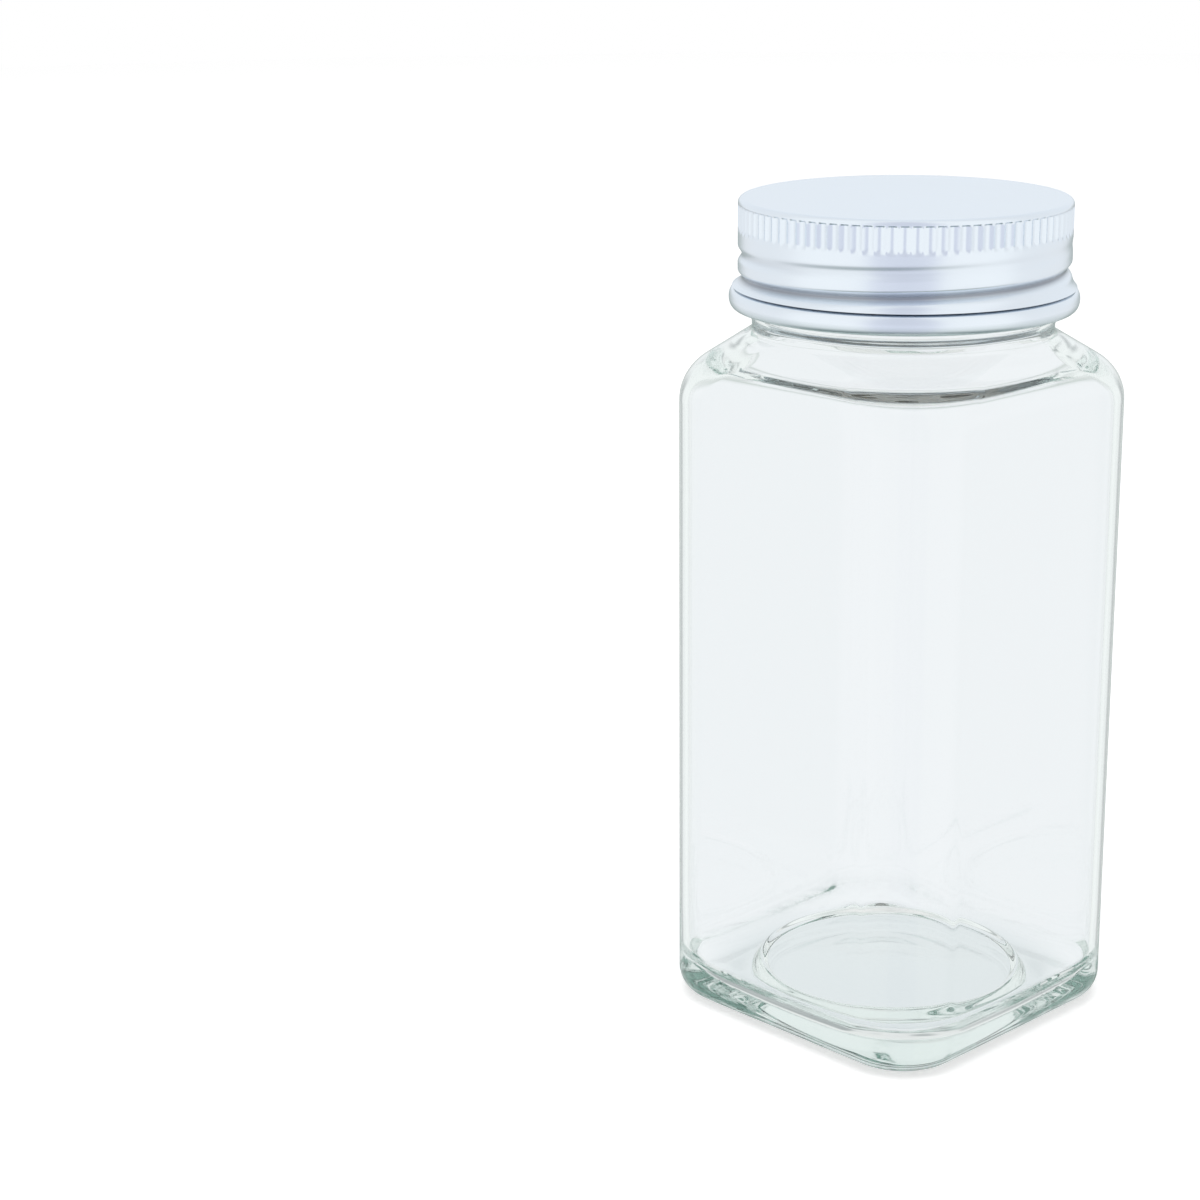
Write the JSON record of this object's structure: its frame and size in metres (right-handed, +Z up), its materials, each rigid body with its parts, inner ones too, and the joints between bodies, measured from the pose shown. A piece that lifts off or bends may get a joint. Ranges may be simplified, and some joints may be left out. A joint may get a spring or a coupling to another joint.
{
  "type": "spice shaker",
  "caption": "Square clear-glass spice jar with rounded corners, a shaker insert in its mouth and a fluted aluminium screw cap.",
  "frame": {"origin": "centre of the base on the surface that the jar stands on", "axes": "+Z up along the jar and the cap's thread; X and Y square to the jar's flat sides"},
  "size_m": [0.0466, 0.0466, 0.1105],
  "materials": {
    "glass": "clear pressed and blown soda-lime glass with a faint green edge tint",
    "insert": "natural white moulded polypropylene",
    "liner": "white foamed polyethylene sheet",
    "cap": "satin rolled aluminium sheet, fluted and threaded by rolling"
  },
  "bodies": {
    "jar": {"glass_jar": "glass", "shaker_insert": "insert"},
    "liner": {"cap_liner": "liner"},
    "cap": {"screw_cap": "cap"}
  },
  "joints": [
    {"name": "cap_rise", "type": "slide", "parent": "jar", "child": "liner", "axis": [0, 0, 1], "range_m": [0, 0.0134]},
    {"name": "cap_turn", "type": "hinge", "parent": "liner", "child": "cap", "pos_m": [0, 0, 0.0964], "axis": [0, 0, 1], "range_deg": [0, 1500]}
  ],
  "couplings": [
    {"joint": "cap_rise", "follows": "cap_turn", "m_per_rad": 0.00050532}
  ]
}
